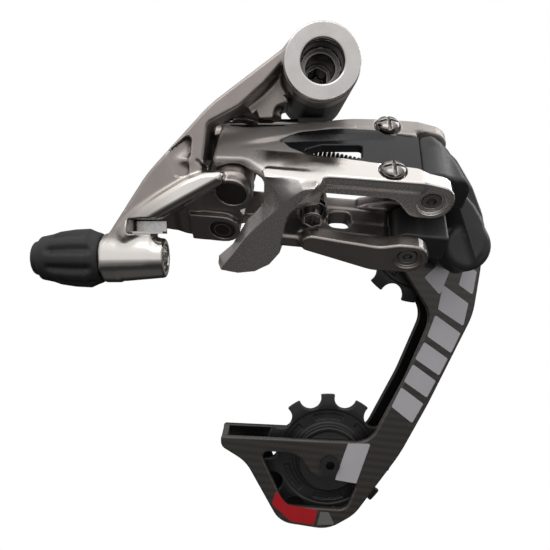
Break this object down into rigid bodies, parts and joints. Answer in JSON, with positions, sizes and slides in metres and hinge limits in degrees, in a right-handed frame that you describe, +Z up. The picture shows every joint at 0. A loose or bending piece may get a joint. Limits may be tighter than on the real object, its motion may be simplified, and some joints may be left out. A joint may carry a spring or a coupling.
{
  "type": "rear bicycle derailleur",
  "caption": "Rear derailleur with mounting bolt, slant parallelogram, sprung cage and two toothed jockey wheels.",
  "frame": {"origin": "on the mounting bolt's axis, at the face that meets the frame's hanger", "axes": "+Z up, +X towards the front of the bicycle, +Y inboard towards the wheel, along the mounting bolt"},
  "size_m": [0.1403, 0.0574, 0.1608],
  "materials": {
    "polished_alloy": "polished, circular brushing",
    "black_steel": "black, satin",
    "knuckle_alloy": "warm grey satin anodised, polished edges",
    "black_composite": "satin black fibre-filled",
    "bush_polymer": "dark bearing polymer",
    "pin_steel": "ground",
    "screw_steel": "dark polished",
    "spring_steel": "dark oiled",
    "barrel_plastic": "matte black",
    "barrel_metal": "dark",
    "link_alloy": "polished warm silver",
    "insert_black": "gloss black",
    "inner_link_alloy": "dark warm grey, satin",
    "seal_rubber": "matte",
    "carbon_plate": "gloss lacquered carbon fibre",
    "plate_alloy": "black anodised",
    "pulley_plastic": "satin black",
    "bearing_steel": "ground",
    "ball_ceramic": "polished",
    "cap_alloy": "black anodised"
  },
  "bodies": {
    "root": {"mounting_bolt": "polished_alloy", "bolt_retaining_clip": "black_steel", "hanger_stop_plate": "black_steel"},
    "b_knuckle": {"b_knuckle": "knuckle_alloy", "hub_cover": "black_composite", "hub_bush_front": "bush_polymer", "hub_bush_rear": "bush_polymer", "outer_link_pin_rear": "pin_steel", "inner_link_pin_rear": "pin_steel", "cable_guide_plate": "polished_alloy"},
    "b_screw": {"b_adjust_screw": "screw_steel"},
    "barrel": {"barrel_adjuster": "barrel_plastic", "barrel_core": "barrel_metal", "barrel_end_ring": "barrel_metal"},
    "outer_link": {"outer_link": "link_alloy", "link_insert": "insert_black", "outer_link_bushes": "bush_polymer", "outer_link_pin_front": "pin_steel", "return_spring": "spring_steel"},
    "limit_high": {"limit_screw_high": "screw_steel"},
    "limit_low": {"limit_screw_low": "screw_steel"},
    "inner_link": {"inner_link": "inner_link_alloy", "inner_link_bushes": "bush_polymer", "inner_link_pin_front": "pin_steel", "cable_anchor_bolt": "screw_steel", "cable_anchor_washer": "screw_steel"},
    "p_knuckle": {"p_knuckle": "black_composite", "p_knuckle_upper_bushes": "bush_polymer", "p_knuckle_lower_bushes": "bush_polymer", "p_knuckle_cap": "black_composite", "cage_bush": "bush_polymer", "cage_seal": "seal_rubber", "cage_spring": "spring_steel", "spring_post": "pin_steel"},
    "cage": {"outer_cage_plate": "carbon_plate", "inner_cage_plate": "plate_alloy", "cage_pivot_axle": "pin_steel", "cage_pivot_screw": "screw_steel", "cage_stop_pin": "pin_steel", "upper_pulley_bolt": "screw_steel", "lower_pulley_bolt": "screw_steel", "upper_bearing_inner_race": "bearing_steel", "lower_bearing_inner_race": "bearing_steel", "upper_bearing_caps": "cap_alloy", "lower_bearing_caps": "cap_alloy"},
    "upper_wheel": {"upper_pulley": "pulley_plastic", "upper_bearing_outer_race": "bearing_steel", "upper_bearing_balls": "ball_ceramic"},
    "lower_wheel": {"lower_pulley": "pulley_plastic", "lower_bearing_outer_race": "bearing_steel", "lower_bearing_balls": "ball_ceramic"}
  },
  "joints": [
    {"name": "b_pivot", "type": "hinge", "parent": "root", "child": "b_knuckle", "pos_m": [0, 0, 0], "axis": [0, 1, 0], "range_deg": [0, 30]},
    {"name": "b_screw_turn", "type": "hinge", "parent": "b_knuckle", "child": "b_screw", "pos_m": [-0.016, -0.015, -0.0126], "axis": [1, 0, 0], "range_deg": [-1080, 1080]},
    {"name": "barrel_turn", "type": "hinge", "parent": "b_knuckle", "child": "barrel", "pos_m": [-0.06, -0.03, -0.0516], "axis": [1, 0, 0], "range_deg": [-1080, 1080]},
    {"name": "outer_link_pivot", "type": "hinge", "parent": "b_knuckle", "child": "outer_link", "pos_m": [-0.02232, -0.01848, -0.02237], "axis": [0.12, 0.68, 0.7233], "range_deg": [0, 57]},
    {"name": "inner_link_pivot", "type": "hinge", "parent": "b_knuckle", "child": "inner_link", "pos_m": [-0.02658, -0.01135, -0.03667], "axis": [0.12, 0.68, 0.7233], "range_deg": [0, 57]},
    {"name": "p_knuckle_pivot", "type": "hinge", "parent": "outer_link", "child": "p_knuckle", "pos_m": [0.03114, -0.02273, -0.02724], "axis": [0.12, 0.68, 0.7233], "range_deg": [-57, 0], "deforming": ["return_spring"]},
    {"name": "limit_high_turn", "type": "hinge", "parent": "outer_link", "child": "limit_high", "pos_m": [0.02, -0.01968, -0.01457], "axis": [0.0043, -0.7289, 0.6846], "range_deg": [-1080, 1080]},
    {"name": "limit_low_turn", "type": "hinge", "parent": "outer_link", "child": "limit_low", "pos_m": [0.0184, -0.03328, -0.02904], "axis": [0.0043, -0.7289, 0.6846], "range_deg": [-1080, 1080]},
    {"name": "cage_pivot", "type": "hinge", "parent": "p_knuckle", "child": "cage", "pos_m": [0.0458, 0, -0.0488], "axis": [0, -1, 0], "range_deg": [0, 115]},
    {"name": "upper_pulley_spin", "type": "hinge", "parent": "cage", "child": "upper_wheel", "pos_m": [0.04, 0.01125, -0.0464], "axis": [0, 1, 0], "continuous": true},
    {"name": "lower_pulley_spin", "type": "hinge", "parent": "cage", "child": "lower_wheel", "pos_m": [0.0074, 0.01125, -0.1264], "axis": [0, 1, 0], "continuous": true}
  ],
  "couplings": [
    {"joint": "inner_link_pivot", "follows": "outer_link_pivot", "ratio": 1},
    {"joint": "p_knuckle_pivot", "follows": "outer_link_pivot", "ratio": -1}
  ]
}
